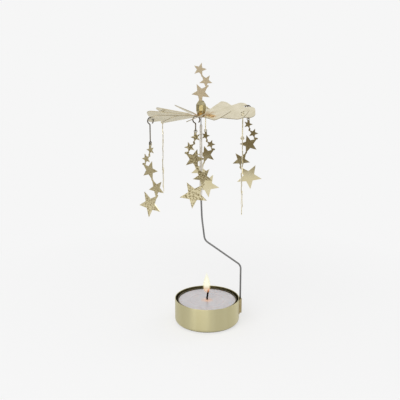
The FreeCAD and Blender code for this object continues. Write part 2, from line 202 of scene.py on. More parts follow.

# %% [markdown]
# Now the metals of the base. The cup is satin gold sheet with a very faint grain, pale outside and darker
# inside, where little light gets in. Its strap is a shade browner. The stem is grey drawn wire and the sleeve
# a paler tube, so their grain runs along them, and the needle is polished steel. The tealight's can is toned a
# dull dark gold: painted shade, which makes the dark ring beside the wax.

# %% Metal finishes of the base
cup_outside = grained("cup_outside", screen(191, 183, 143), screen(202, 195, 157), 9 * MM,
                      (0.40, 0.46), stretch=(1, 1, 40))
strap_metal = grained("strap_metal", screen(164, 149, 110), screen(174, 160, 121), 4 * MM,
                      (0.34, 0.4))
cup_inside = grained("cup_inside", screen(96, 88, 58), screen(128, 118, 82), 1.5 * MM,
                     (0.35, 0.5), stretch=(1, 1, 12), depth=0.004 * MM)
drawn_wire = grained("drawn_wire", screen(112, 112, 112), screen(142, 141, 139), 0.5 * MM,
                     (0.28, 0.42), stretch=(1, 1, 14), depth=0.006 * MM)
pale_tube = grained("pale_tube", screen(210, 205, 194), screen(240, 235, 227), 0.6 * MM,
                    (0.25, 0.4), stretch=(1, 1, 10), depth=0.004 * MM)
needle_steel = grained("needle_steel", screen(150, 150, 150), screen(190, 190, 188), 0.3 * MM,
                       (0.15, 0.25), stretch=(1, 1, 8))
# Painted shade: the can's dark tone stands for the shade in the ring beside the wax.
can_painted_shade = grained("can_painted_shade", screen(118, 110, 84), screen(130, 122, 95), 3 * MM,
                    (0.32, 0.38), stretch=(1, 1, 3))
print("metals of the base ready")

# %% [markdown]
# The metals over it. The hooks are one wire in two tones: dark near the camera as painted shade, and pale
# on the far ones as painted light. The bead is polished brass, nearly a mirror. The washer under it sits
# closest to the flame and is browner. The finial is matt beige gold, the only metal here that mirrors nothing.
# One brass for all would be simpler, but they differ in the photograph as much as the cup from its wire.

# %% Metal finishes of the rotor
# Painted shade: the near hooks' wire, toned dark for the shade that they stand in.
shaded_hook_wire = grained("shaded_hook_wire", screen(80, 74, 62), screen(116, 108, 92), 0.5 * MM,
                       (0.25, 0.45), stretch=(1, 1, 4), depth=0.006 * MM)
# Painted light: the far hooks' wire, toned pale for the light that falls on them.
lit_hook_wire = grained("lit_hook_wire", screen(196, 186, 154), screen(222, 214, 188), 0.5 * MM,
                    (0.25, 0.4), stretch=(1, 1, 4), depth=0.004 * MM)
bead_brass = grained("bead_brass", screen(154, 144, 110), screen(188, 178, 142), 1.2 * MM,
                     (0.06, 0.14))
washer_brass = grained("washer_brass", screen(150, 124, 72), screen(196, 166, 104), 0.8 * MM,
                       (0.2, 0.35), depth=0.004 * MM)
matte_gold = grained("matte_gold", screen(166, 152, 126), screen(188, 174, 148), 0.35 * MM,
                     (0.42, 0.6), metallic=0.85, depth=0.008 * MM)
print("metals of the rotor ready")

# %% [markdown]
# A cup is polished while it turns on a lathe. The fine marks run round it, and they draw every reflection out
# into an upright band, which is what the photograph shows. Real grooves would need millions of faces. The
# shader's anisotropy gives the same bands, once its tangent is told to run round the upright axis.

# %% Turned cup


def turned(material, amount):
    """Marks of turning round the upright axis, which draw every reflection out into an upright band."""
    tree = material.node_tree
    shader = tree.nodes["Principled BSDF"]
    around = tree.nodes.new("ShaderNodeTangent")
    around.direction_type = "RADIAL"
    around.axis = "Z"
    tree.links.new(around.outputs["Tangent"], shader.inputs["Tangent"])
    shader.inputs["Anisotropic"].default_value = amount
    shader.inputs["Anisotropic Rotation"].default_value = 0.25


turned(cup_outside, 0.85)
print("cup is turned")

# %% [markdown]
# The stars have two faces. The inward one is polished and nearly a mirror, with only a little unevenness from
# stamping, so it takes the grained maker with a large, shallow grain. A perfect mirror would look like glass.
# The cut edges are duller.

# %% Polished star finishes
star_back = grained("star_back", screen(214, 202, 162), screen(228, 218, 184), 6 * MM,
                    (0.06, 0.14), depth=0.02 * MM)
star_edge = grained("star_edge", screen(170, 158, 122), screen(200, 190, 156), 0.5 * MM, (0.2, 0.35))
print("polished star finishes ready")

# %% [markdown]
# The outward face is etched: a bright ground with small dull pits. One noise, cut off sharply by a narrow
# range, gives the pits, and a second, finer one dusts the ground between them. Modelling the pits would take
# thousands of faces for a depth of a few hundredths of a millimetre.

# %% Etched star finish


def etched_gold():
    """Front of the stars: a bright ground with dull pits of about a millimetre."""
    material, tree, shader = blank_material("star_front")
    shader.inputs["Metallic"].default_value = 1.0
    pits = remap(tree, grain(tree, 1.0 * MM, detail=4.0), 0, 1, 0.50, 0.62)
    dust = remap(tree, grain(tree, 0.35 * MM, detail=2.0), 0, 0.5, 0.45, 0.6)
    tone = blend(tree, pits, screen(234, 223, 184), screen(152, 136, 96))
    worn = blend(tree, dust, tone, screen(190, 176, 136))
    tree.links.new(worn, shader.inputs["Base Color"])
    tree.links.new(remap(tree, pits, 0.08, 0.3, 0, 1), shader.inputs["Roughness"])
    bump(tree, shader, pits, 0.03 * MM)
    return material


star_front = etched_gold()
print("etched finish ready")

# %% [markdown]
# The blades are bent from one thin sheet, pale satin gold. At the twisted roots, close over the flame, the
# metal is heat stained to a deeper orange gold, and one front blade carries a streak of it towards its tip.
# The stain could be painted on by hand, but distances are simpler: from the needle's axis for the roots, and
# from a line for the streak. These helpers measure them.

# %% Distances on the sheet
HUB = Vector(next(joint["pos_m"] for joint in frame["joints"] if joint["name"] == "rotor_spin"))
STAIN_IN = 5 * MM
STAIN_OUT = 10.5 * MM


def from_axis(tree):
    """Distance from the needle's axis in metres."""
    coordinates = tree.nodes.new("ShaderNodeTexCoord")
    shift = tree.nodes.new("ShaderNodeMapping")
    shift.inputs["Location"].default_value = (-HUB.x, -HUB.y, 0)
    shift.inputs["Scale"].default_value = (1, 1, 0)
    length = tree.nodes.new("ShaderNodeVectorMath")
    length.operation = "LENGTH"
    tree.links.new(coordinates.outputs["Object"], shift.inputs["Vector"])
    tree.links.new(shift.outputs["Vector"], length.inputs[0])
    return length.outputs["Value"]


def along(tree, direction):
    """How far a point of the object lies along a direction, in metres."""
    coordinates = tree.nodes.new("ShaderNodeTexCoord")
    dot = tree.nodes.new("ShaderNodeVectorMath")
    dot.operation = "DOT_PRODUCT"
    dot.inputs[1].default_value = direction
    tree.links.new(coordinates.outputs["Object"], dot.inputs[0])
    return dot.outputs["Value"]


print("needle's axis at", [round(v / MM, 1) for v in HUB], "mm")

# %% [markdown]
# The streak is the place where four shares overlap: near the line on either side, past its start and before
# its end. Multiplying them gives a soft-edged strip, with no mask to paint and no seam.

# %% Streak
STREAK_FROM = Vector((-0.4, -5, 0)) * MM
STREAK_TO = Vector((4.0, -24, 0)) * MM
STREAK_HALF = 1.0 * MM
STREAK_FADE_IN = 2 * MM
STREAK_FADE_OUT = 4 * MM


def product(tree, *factors):
    """Product of any number of node outputs."""
    total = factors[0]
    for factor in factors[1:]:
        node = tree.nodes.new("ShaderNodeMath")
        node.operation = "MULTIPLY"
        tree.links.new(total, node.inputs[0])
        tree.links.new(factor, node.inputs[1])
        total = node.outputs["Value"]
    return total


def streak_share(tree):
    """1 on the streak along the front blade, 0 away from it."""
    line = (STREAK_TO - STREAK_FROM).normalized()
    across = Vector((-line.y, line.x, 0))
    side = along(tree, across)
    middle = STREAK_FROM.dot(across)
    ahead = along(tree, line)
    start = STREAK_FROM.dot(line)
    end = STREAK_TO.dot(line)
    return product(tree, remap(tree, side, 0, 1, middle - 1.5 * STREAK_HALF, middle - 0.8 * STREAK_HALF),
                   remap(tree, side, 1, 0, middle + 0.8 * STREAK_HALF, middle + 1.5 * STREAK_HALF),
                   remap(tree, ahead, 0, 1, start, start + STREAK_FADE_IN),
                   remap(tree, ahead, 1, 0, end - STREAK_FADE_OUT, end))


print("streak of", round((STREAK_TO - STREAK_FROM).length / MM, 1), "mm")

# %% [markdown]
# The blade's own colour then goes through two mixes, first to the stained roots and then to the flecks of the
# streak. The sheet's cut edge gets a darker, browner tone than its faces. It shows as the thin dark
# line that parts one blade from the next, so it gets a finish of its own.

# %% Blade finishes


def blade_gold():
    material, tree, shader = blank_material("blade_gold")
    shader.inputs["Metallic"].default_value = 0.9
    brush = grain(tree, 5 * MM)
    streaks = grain(tree, 1.6 * MM)
    pale = blend(tree, remap(tree, brush, 0, 1), screen(214, 206, 180), screen(228, 221, 200))
    stained = blend(tree, remap(tree, streaks, 0, 1), screen(150, 112, 62), screen(206, 170, 112))
    near = remap(tree, from_axis(tree), 0.85, 0, STAIN_IN, STAIN_OUT)
    rooted = blend(tree, near, pale, stained)
    flecks = blend(tree, remap(tree, grain(tree, 1.8 * MM), 0, 1, 0.44, 0.56), screen(138, 94, 38),
                   screen(240, 202, 130))
    tree.links.new(blend(tree, streak_share(tree), rooted, flecks), shader.inputs["Base Color"])
    tree.links.new(remap(tree, brush, 0.46, 0.54), shader.inputs["Roughness"])
    return material


def cut_edge():
    """The sheet's cut edge: darker, rougher and browner than its faces."""
    material, tree, shader = blank_material("cut_edge")
    shader.inputs["Metallic"].default_value = 0.9
    torn = grain(tree, 0.8 * MM)
    tree.links.new(blend(tree, remap(tree, torn, 0, 1), screen(150, 139, 112), screen(178, 167, 140)),
                   shader.inputs["Base Color"])
    tree.links.new(remap(tree, torn, 0.5, 0.6), shader.inputs["Roughness"])
    return material


blade_sheet = blade_gold()
blade_edge = cut_edge()
print("sheet finishes ready")

# %% [markdown]
# Wax lets light in, so it is a plastic-like shader with subsurface scattering. It is warm and wet close to
# the wick, where the flame lights it from above, and dry and greyer towards the can. A real light in the flame
# would do the same with far more noise, so the warmth is a colour that fades with the distance.

# %% Wax finish


def wax_finish():
    material, tree, shader = blank_material("wax")
    mottle = grain(tree, 2.5 * MM)
    coordinates = tree.nodes.new("ShaderNodeTexCoord")
    flat = tree.nodes.new("ShaderNodeVectorMath")
    flat.operation = "MULTIPLY"
    flat.inputs[1].default_value = (1, 1, 0)
    length = tree.nodes.new("ShaderNodeVectorMath")
    length.operation = "LENGTH"
    tree.links.new(coordinates.outputs["Object"], flat.inputs[0])
    tree.links.new(flat.outputs["Vector"], length.inputs[0])
    radius = length.outputs["Value"]
    plain = blend(tree, remap(tree, mottle, 0, 1), screen(194, 190, 192), screen(204, 199, 201))
    warm = remap(tree, radius, 0.75, 0, 0.8 * MM, 4.5 * MM)
    tree.links.new(blend(tree, warm, plain, screen(246, 190, 150)), shader.inputs["Base Color"])
    tree.links.new(remap(tree, radius, 0.12, 0.38, 6 * MM, 15 * MM), shader.inputs["Roughness"])
    shader.inputs["Subsurface Weight"].default_value = 0.35
    shader.inputs["Subsurface Scale"].default_value = 2 * MM
    shader.inputs["Subsurface Radius"].default_value = (1.0, 0.7, 0.6)
    bump(tree, shader, mottle, 0.03 * MM)
    return material


wax = wax_finish()
print("wax ready")

# %% [markdown]
# The wick is charred cotton, black and quite without gloss. Only its tip glows as an ember. The glow follows
# the height above the table, so it fades downwards and needs no second material.

# %% Wick finish


def height(tree):
    """Height above the table in metres."""
    coordinates = tree.nodes.new("ShaderNodeTexCoord")
    split = tree.nodes.new("ShaderNodeSeparateXYZ")
    tree.links.new(coordinates.outputs["Object"], split.inputs["Vector"])
    return split.outputs["Z"]


def wick_finish(tip_z):
    material, tree, shader = blank_material("charred_wick")
    fibre = grain(tree, 0.25 * MM, stretch=(1, 1, 3))
    char = blend(tree, remap(tree, fibre, 0, 1), screen(8, 6, 5), screen(30, 22, 18))
    shader.inputs["Specular IOR Level"].default_value = 0.1
    tree.links.new(char, shader.inputs["Base Color"])
    shader.inputs["Roughness"].default_value = 0.85
    shader.inputs["Emission Color"].default_value = screen(255, 120, 30)
    ember = remap(tree, height(tree), 0, 0.8, tip_z - 2.4 * MM, tip_z)
    tree.links.new(ember, shader.inputs["Emission Strength"])
    bump(tree, shader, fibre, 0.05 * MM)
    return material


charred_wick = wick_finish(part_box("tealight_wick")[1][2])
print("wick ready")

# %% [markdown]
# Three helpers put pieces in place. One hands a finished mesh to its body, so that it moves with the joints,
# and hides the CAD nodes that it replaces. One gives a CAD node a finish and leaves its shape alone. One turns
# a bmesh into an object, at the origin, so that its mesh already holds its place. Parenting by hand would move
# the pieces too.

# %% Handing pieces over


def hand_over(piece, body, slot, *replaced):
    """Puts a piece on its body and hides the CAD nodes that it replaces. The slot argument is not used."""
    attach(piece, body)
    if replaced:
        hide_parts(*replaced)
    print("piece", piece.name, "faces", len(piece.data.polygons))


def paint_node(name, material):
    """Gives a CAD node a finish. Its shape is right as it is."""
    slots = nodes[name].data.materials
    slots.clear()
    slots.append(material)


def keep_mesh(name, mesh_builder, materials):
    """Turns a bmesh into an object with its materials."""
    mesh = bpy.data.meshes.new(name)
    mesh_builder.to_mesh(mesh)
    mesh_builder.free()
    for material in materials:
        mesh.materials.append(material)
    piece = bpy.data.objects.new(name, mesh)
    scene.collection.objects.link(piece)
    return piece


print("hand-over helpers ready")

# %% [markdown]
# Cups, cans and wax are round, so we draw half of their cross-section and spin it, as they are spun or pressed
# in a workshop too. A cylinder with its top cut out would do for the wall, but an outline also gives the soft
# corner and the rounded rim in one go. Rounded corners are short arcs of points in that outline.

# %% Spinning


def spin_outline(builder, outline, segments):
    """Spins a closed outline of (radius, height) points about the upright axis, smooth and facing outwards."""
    ring = [builder.verts.new((radius, 0, z)) for radius, z in outline]
    edges = [builder.edges.new((a, b)) for a, b in zip(ring, ring[1:] + ring[:1])]
    bmesh.ops.spin(builder, geom=ring + edges, cent=(0, 0, 0), axis=(0, 0, 1), angle=2 * math.pi,
                   steps=segments, use_merge=True)
    bmesh.ops.remove_doubles(builder, verts=builder.verts, dist=0.0005 * MM)
    bmesh.ops.recalc_face_normals(builder, faces=builder.faces)
    for face in builder.faces:
        face.smooth = True


def spun(name, outline, materials, segments=96, inner=None):
    """Piece spun from one outline. Faces that inner picks by their middle get the second material."""
    builder = bmesh.new()
    spin_outline(builder, outline, segments)
    for face in builder.faces:
        if inner and inner(face):
            face.material_index = 1
    return keep_mesh(name, builder, materials)


def corner(centre_r, centre_z, radius, start, end, steps=6):
    """Points of a rounded corner, for use inside an outline."""
    points = []
    for step in range(steps + 1):
        angle = math.radians(start + (end - start) * step / steps)
        points.append((centre_r + radius * math.cos(angle), centre_z + radius * math.sin(angle)))
    return points


def sharp_edges(piece, angle=35):
    """Keeps edges crisp where faces meet at more than the angle, and smooth elsewhere."""
    piece.data.set_sharp_from_angle(angle=math.radians(angle))


print("spinning helpers ready")

# %% [markdown]
# The cup is pressed from sheet: a flat underside, a soft bottom corner, a straight wall and a rim whose cut
# edge is lightly rounded. The outside is satin. The inside is seen only as a dark ring behind the wax,
# because little light gets between the tealight and the wall, so it has its own darker finish.

# %% Cup
low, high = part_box("base_cup")
CUP_R = high[0]
CUP_H = high[2]
CUP_WALL = 0.5 * MM
CUP_CORNER = 2.8 * MM
RIM = 0.2 * MM


def cup_outline():
    inner_r = CUP_R - CUP_WALL
    outline = [(0, 0)]
    outline += corner(CUP_R - CUP_CORNER, CUP_CORNER, CUP_CORNER, -90, 0, 10)
    outline += corner(CUP_R - RIM, CUP_H - RIM, RIM, 0, 90)
    outline += corner(inner_r + RIM, CUP_H - RIM, RIM, 90, 180)
    outline += corner(CUP_R - CUP_CORNER, CUP_CORNER, CUP_CORNER - CUP_WALL, 0, -90, 8)
    outline += [(0, CUP_WALL)]
    return outline


def is_cup_inside(face):
    middle = face.calc_center_median()
    radius = math.hypot(middle.x, middle.y)
    return middle.z > CUP_WALL / 2 and radius < CUP_R - CUP_WALL + 0.05 * MM


cup = spun("cup_shell", cup_outline(), [cup_outside, cup_inside], segments=128, inner=is_cup_inside)
sharp_edges(cup, 50)
hand_over(cup, "base", "cup_gold", "base_cup")

# %% [markdown]
# A tealight's can is thinner than paper card and drawn in one stroke. Its lip is rolled outwards into a tiny
# bead that stiffens it, and the wall is drawn in a little below that bead. The outline holds both, because a
# bevel on a plain can would round the lip without widening it.

# %% Tealight can
low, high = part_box("tealight_can")
CAN_R = high[0]
CAN_BOTTOM = low[2]
CAN_TOP = high[2]
CAN_WALL = 0.2 * MM
CAN_CORNER = 1.2 * MM
LIP = 0.28 * MM


def can_outline():
    inner_r = CAN_R - CAN_WALL
    wall_r = CAN_R - LIP
    outline = [(0, CAN_BOTTOM)]
    outline += corner(CAN_R - CAN_CORNER, CAN_BOTTOM + CAN_CORNER, CAN_CORNER, -90, 0, 8)
    outline += [(CAN_R, CAN_TOP - 4 * LIP), (wall_r + 0.1 * LIP, CAN_TOP - 2.6 * LIP)]
    outline += corner(wall_r, CAN_TOP - LIP, LIP, -60, 120, 8)
    outline += [(inner_r - LIP / 2, CAN_TOP - 2 * LIP), (inner_r, CAN_TOP - 4 * LIP)]
    outline += corner(CAN_R - CAN_CORNER, CAN_BOTTOM + CAN_CORNER, CAN_CORNER - CAN_WALL, 0, -90, 6)
    outline += [(0, CAN_BOTTOM + CAN_WALL)]
    return outline


can = spun("can_shell", can_outline(), [can_painted_shade], segments=128)
sharp_edges(can, 50)
hand_over(can, "tealight", "can_aluminium", "tealight_can")

# %% [markdown]
# The wax filled the can hot and shrank as it cooled, so its edge rounds off at the wall and its middle dips,
# where the flame melts a shallow pool. It also creeps up the wick in a small collar. One more outline gives all
# three. The tin disc that holds the wick is hidden in the wax and keeps its CAD shape.

# %% Wax
low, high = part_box("tealight_wax")
WAX_R = high[0]
WAX_TOP = high[2]
WAX_BOTTOM = low[2]
POOL = 0.45 * MM
COLLAR_R = 1.6 * MM


def wax_outline():
    outline = [(0, WAX_BOTTOM), (WAX_R - CAN_CORNER, WAX_BOTTOM), (WAX_R, WAX_BOTTOM + CAN_CORNER)]
    outline += corner(WAX_R - 3 * LIP, WAX_TOP - 3 * LIP, 3 * LIP, 0, 90, 6)
    for step in range(1, 15):
        share = step / 14
        radius = (WAX_R - 3 * LIP) * (1 - share) + COLLAR_R * share
        outline.append((radius, WAX_TOP - POOL * math.sin(share * math.pi / 2) ** 1.5))
    outline += [(0.9 * MM, WAX_TOP - 0.7 * POOL), (0.7 * MM, WAX_TOP - 0.1 * POOL), (0, WAX_TOP - 0.1 * POOL)]
    return outline


wax_body = spun("wax_body", wax_outline(), [wax])
sharp_edges(wax_body, 60)
hand_over(wax_body, "tealight", "wax", "tealight_wax")
paint_node("wick_sustainer", strap_metal)

# %% [markdown]
# The wick is a braid that curls as it burns. A small section with six lobes, turned a little at each step as
# it is extruded along the lean of the CAD wick, gives the rope of charred cotton. A curve with a bevel would
# follow the lean as well, but its section can't be twisted and thinned at the tip so simply.

# %% Wick
low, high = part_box("tealight_wick")
WICK_R = 0.63 * MM
WICK_LEAN = high[0] - WICK_R
WICK_STEPS = 26
WICK_LOBES = 6
STEP_TWIST = math.radians(14)
THINNED_STEPS = 4


def wick_place(share):
    """Middle of the wick at a share of its height above the wax, and its lean there."""
    z = WAX_TOP - POOL + (high[2] - 0.1 * MM - WAX_TOP + POOL) * share
    return Vector((WICK_LEAN * share ** 2, 0, z)), math.atan2(2 * WICK_LEAN * share, high[2] - WAX_TOP)


def braided_wick():
    builder = bmesh.new()
    ring = bmesh.ops.create_circle(builder, segments=18, radius=WICK_R * 0.93)["verts"]
    for index, vertex in enumerate(ring):
        vertex.co *= 1 + 0.07 * math.cos(index * 2 * math.pi / WICK_LOBES)
    place, _ = wick_place(0)
    bmesh.ops.translate(builder, verts=ring, vec=place)
    cap = builder.faces.new(ring)
    for step in range(1, WICK_STEPS + 1):
        share = step / WICK_STEPS
        made = bmesh.ops.extrude_discrete_faces(builder, faces=[cap])
        cap = made["faces"][0]
        before, _ = wick_place((step - 1) / WICK_STEPS)
        after, lean = wick_place(share)
        turn = Matrix.Rotation(lean / WICK_STEPS, 3, "Y") @ Matrix.Rotation(STEP_TWIST, 3, "Z")
        bmesh.ops.rotate(builder, verts=cap.verts, cent=before, matrix=turn)
        bmesh.ops.translate(builder, verts=cap.verts, vec=after - before)
        if step > WICK_STEPS - THINNED_STEPS:
            bmesh.ops.scale(builder, verts=cap.verts, vec=(0.86, 0.86, 0.86),
                            space=Matrix.Translation(-after))
    return builder


wick_builder = braided_wick()
bmesh.ops.remove_doubles(wick_builder, verts=wick_builder.verts, dist=0.0005 * MM)
bmesh.ops.recalc_face_normals(wick_builder, faces=wick_builder.faces)
wick = keep_mesh("braided_wick", wick_builder, [charred_wick])
hand_over(wick, "tealight", "wick", "tealight_wick")

# %% [markdown]
# A candle flame is a hot, thin-skinned drop of glowing gas, brightest in the middle. A volume would be the
# honest way, but it is slow and noisy. A single glowing shell would have a hard rim. So we nest three drops
# round the wick's tip, each clearer than the one inside it, and each fades out at its foot and tip.

# %% Flame finish
FLAME_LOW = 18.2 * MM
FLAME_HIGH = 34.0 * MM
FLAME_R = 2.6 * MM
FLAME_LEAN = -0.3 * MM
SHELL_LIFT = 0.02 * MM
# name, share of the width, space left at the tip, colour, how much each wall of the shell covers
FLAME_SHELLS = (
    ("flame_skin", 1.0, 0.0, screen(252, 247, 180), 0.14),
    ("flame_body", 0.84, 1.2 * MM, screen(254, 251, 214), 0.32),
    ("flame_core", 0.68, 2.8 * MM, screen(255, 255, 250), 0.7),
)


def flame_finish(name, glow_colour, cover):
    """Glow that is warm at the foot and covers what is behind it by the given share."""
    material, tree, output = empty_material(name)
    glow = tree.nodes.new("ShaderNodeEmission")
    clear = tree.nodes.new("ShaderNodeBsdfTransparent")
    mix = tree.nodes.new("ShaderNodeMixShader")
    z = height(tree)
    warm_foot = remap(tree, z, 0, 1, FLAME_LOW + MM, FLAME_LOW + 6 * MM)
    tree.links.new(blend(tree, warm_foot, screen(255, 170, 96), glow_colour), glow.inputs["Color"])
    glow.inputs["Strength"].default_value = 1.03
    foot = remap(tree, z, 0.0, cover, FLAME_LOW + MM, FLAME_LOW + 6.5 * MM)
    tip = remap(tree, z, 1.0, 0.1, FLAME_HIGH - 5 * MM, FLAME_HIGH)
    tree.links.new(product(tree, foot, tip), mix.inputs["Fac"])
    tree.links.new(clear.outputs["BSDF"], mix.inputs[1])
    tree.links.new(glow.outputs["Emission"], mix.inputs[2])
    tree.links.new(mix.outputs["Shader"], output.inputs["Surface"])
    return material


flame_finishes = [flame_finish(name, colour, cover) for name, _, _, colour, cover in FLAME_SHELLS]
print("flame finishes:", [finish.name for finish in flame_finishes])

# %% [markdown]
# The drop's outline comes from one sine curve, pushed towards the foot and thinned towards the tip. The three
# shells are one mesh with three materials, because they are one flame. It has no weight and no collision, so it
# is a picture piece that rides the tealight and stands for no solid.

# %% Flame


def flame_outline(width_share, tip_gap):
    """Outline of one drop. tip_gap is the space left between its tip and the flame's."""
    points = []
    rise = FLAME_HIGH - tip_gap - FLAME_LOW
    for step in range(25):
        share = step / 24
        width = math.sin(math.pi * share ** 0.72) * (1 - 0.42 * share)
        points.append((width_share * FLAME_R * max(width, 0) / 0.87, FLAME_LOW + rise * share))
    return points


def flame_builder():
    whole = bmesh.new()
    for index, (_, width_share, tip_gap, _, _) in enumerate(FLAME_SHELLS):
        shell = bmesh.new()
        spin_outline(shell, flame_outline(width_share, tip_gap), segments=40)
        bmesh.ops.translate(shell, verts=shell.verts, vec=(FLAME_LEAN, 0, index * SHELL_LIFT))
        for face in shell.faces:
            face.material_index = index
        mesh = bpy.data.meshes.new("shell")
        shell.to_mesh(mesh)
        shell.free()
        whole.from_mesh(mesh)
        bpy.data.meshes.remove(mesh)
    return whole


flame = keep_mesh("flame", flame_builder(), flame_finishes)
hand_over(flame, "tealight", "wick")

# %% [markdown]
# The strap that holds the wire was folded from sheet and spot welded. Its CAD shape is right as it is. Four
# shallow weld dimples, two on each wing, show how it is held. Each is a small sphere pressed flat and set half
# into the wing. A bump would be cheaper, but wouldn't show against the light at the cup's side.

# %% Strap and welds
paint_node("stem_socket", strap_metal)
low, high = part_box("stem_socket")
STRAP_SHEET = 0.45 * MM
STRAP_OUT = CUP_R + STRAP_SHEET
WING = (high[1] - low[1]) / 2
WELD_R = 0.45 * MM
WELD_INSET = 1.2 * MM
WELD_FLATNESS = 0.28


def weld_dimples():
    builder = bmesh.new()
    for side in (-1, 1):
        angle = side * (WING - WELD_INSET) / STRAP_OUT
        for share in (0.28, 0.72):
            made = bmesh.ops.create_uvsphere(builder, u_segments=20, v_segments=10, radius=WELD_R)["verts"]
            bmesh.ops.scale(builder, verts=made, vec=(WELD_FLATNESS, 1, 1))
            bmesh.ops.translate(builder, verts=made, vec=(STRAP_OUT, 0, low[2] + (high[2] - low[2]) * share))
            bmesh.ops.rotate(builder, verts=made, cent=(0, 0, 0), matrix=Matrix.Rotation(angle, 3, "Z"))
    for face in builder.faces:
        face.smooth = True
    return builder


welds = keep_mesh("weld_dimples", weld_dimples(), [strap_metal])
hand_over(welds, "base", "cup_gold")

# %% [markdown]
# Stamped sheet never has knife-sharp edges. For the rotor, the bead, the finial and the stars we copy the CAD
# mesh, weld its loose triangles together, clear the lines inside flat faces, and let a Bevel modifier round
# every edge a little. Modelling these pieces anew would only repeat what the CAD already has right.

# %% Copies with softened edges


def welded_copy(node, whole=True):
    """CAD mesh with its triangles joined and, if asked, its flat faces made whole."""
    builder = bmesh.new()
    builder.from_mesh(nodes[node].data)
    bmesh.ops.remove_doubles(builder, verts=builder.verts, dist=0.0005 * MM)
    if whole:
        bmesh.ops.dissolve_limit(builder, angle_limit=math.radians(0.5), verts=builder.verts,
                                 edges=builder.edges)
    return builder


def soften(piece, width, segments=2):
    modifier = piece.modifiers.new("soft_edges", "BEVEL")
    modifier.width = width
    modifier.segments = segments
    modifier.limit_method = "ANGLE"
    modifier.angle_limit = math.radians(40)
    modifier.harden_normals = False
    modifier.use_clamp_overlap = True


def smooth(piece, angle=35):
    for face in piece.data.polygons:
        face.use_smooth = True
    sharp_edges(piece, angle)


print("copying helpers ready")

# %% [markdown]
# On the fan we want the cut edges apart from the two broad faces. The sheet is twisted, so a face's direction
# says nothing. But the surface only turns sharply at the edges: if we walk from face to face and stop at every
# sharp turn, the two largest groups are the sheet's top and underside, and all others are cut edges.

# %% Blades


def islands(builder, angle):
    """Groups of faces that meet at less than the angle, the largest group first."""
    left = set(builder.faces)
    groups = []
    while left:
        group = {left.pop()}
        rim = list(group)
        while rim:
            for edge in rim.pop().edges:
                if len(edge.link_faces) == 2 and edge.calc_face_angle() < angle:
                    new = {face for face in edge.link_faces if face in left}
                    left -= new
                    group |= new
                    rim.extend(new)
        groups.append(group)
    return sorted(groups, key=lambda group: -sum(face.calc_area() for face in group))


def fan_builder():
    builder = welded_copy("rotor_fan", whole=False)
    groups = islands(builder, math.radians(45))
    for group in groups[2:]:
        for face in group:
            face.material_index = 1
    print("fan: two broad faces and", len(groups) - 2, "cut edges")
    return builder


fan = keep_mesh("blade_fan", fan_builder(), [blade_sheet, blade_edge])
smooth(fan)
soften(fan, 0.07 * MM)
evened = fan.modifiers.new("even_shading", "WEIGHTED_NORMAL")
evened.keep_sharp = True
hand_over(fan, "rotor", "fan_gold", "rotor_fan")

# %% [markdown]
# The bead over the hub is turned and then cut with facets, and the finial over it is stamped from one sheet.
# Both are flat faced, so they stay flat shaded, and only their edges are rounded.

# %% Bead and finial
bead = keep_mesh("faceted_bead", welded_copy("hub_bead"), [bead_brass])
soften(bead, 0.1 * MM)
hand_over(bead, "rotor", "bead_brass", "hub_bead")

finial = keep_mesh("finial_stars", welded_copy("top_stars"), [matte_gold])
soften(finial, 0.06 * MM)
hand_over(finial, "rotor", "finial_gold", "top_stars")

# %% [markdown]
# Wire, tube and turned pieces are round, so their joined copies are shaded smooth, and only their ends keep
# a crisp edge. In the photograph the three hooks nearest to the camera are dark and the far ones pale, so
# one wire gets two tones: painted shade on the near hooks and painted light on the far ones.

# %% Wires and turned pieces
# Hooks toned dark as painted shade; the other hooks are toned pale as painted light.
SHADED_HOOKS = (1, 2, 4)


def round_piece(node, name, material, body, slot):
    piece = keep_mesh(name, welded_copy(node, whole=False), [material])
    smooth(piece, 50)
    hand_over(piece, body, slot, node)


round_piece("stem_wire", "bent_wire", drawn_wire, "base", "stem_steel")
round_piece("stem_sleeve", "sleeve_tube", pale_tube, "base", "sleeve_metal")
round_piece("pivot_needle", "needle", needle_steel, "base", "needle_steel")
round_piece("pivot_bush", "bearing_cup", needle_steel, "rotor", "bush_steel")
round_piece("hub_washer", "collar", washer_brass, "rotor", "bead_brass")
for number in range(1, 7):
    round_piece("pendant_hook_%d" % number, "hook_%d" % number,
                shaded_hook_wire if number in SHADED_HOOKS else lit_hook_wire, "pendant_%d" % number, "hook_wire")

# %% [markdown]
# Each chain of stars gets three finishes on one mesh. The face that looks away from the needle is etched, the
# one that looks towards it is polished, and the cut edges lie between. These sheets are flat, so here a face's
# direction and size do tell us which of the three it is.

# %% Star chains
SMALLEST_FLAT = 2 * MM * MM


def chain_piece(number):
    """One chain of five stars, with its three finishes."""
    node = "star_chain_%d" % number
    low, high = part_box(node)
    outward = Vector(((low[0] + high[0]) / 2 - HUB.x, (low[1] + high[1]) / 2 - HUB.y, 0)).normalized()
    builder = welded_copy(node)
    for face in builder.faces:
        side = face.normal.dot(outward)
        flat = abs(side) > 0.3 and face.calc_area() > SMALLEST_FLAT
        face.material_index = (0 if side > 0 else 1) if flat else 2
    piece = keep_mesh("stars_%d" % number, builder, [star_front, star_back, star_edge])
    soften(piece, 0.05 * MM)
    hand_over(piece, "pendant_%d" % number, "star_gold", node)


for number in range(1, 7):
    chain_piece(number)

# %% [markdown]
# The floor and the background of the photograph are one even, pale paper. Lighting a white floor until it
# looks even would wash out the pale blades. So rays that see the paper directly, or mirrored, or through
# something clear, meet its plain colour, and the lamps stay at a plain level for the object. Light Path tells
# these rays from the ones that only carry light.

# %% Rays that see the paper


def largest(tree, *values):
    """Largest of any number of node outputs."""
    total = values[0]
    for value in values[1:]:
        node = tree.nodes.new("ShaderNodeMath")
        node.operation = "MAXIMUM"
        tree.links.new(total, node.inputs[0])
        tree.links.new(value, node.inputs[1])
        total = node.outputs["Value"]
    return total


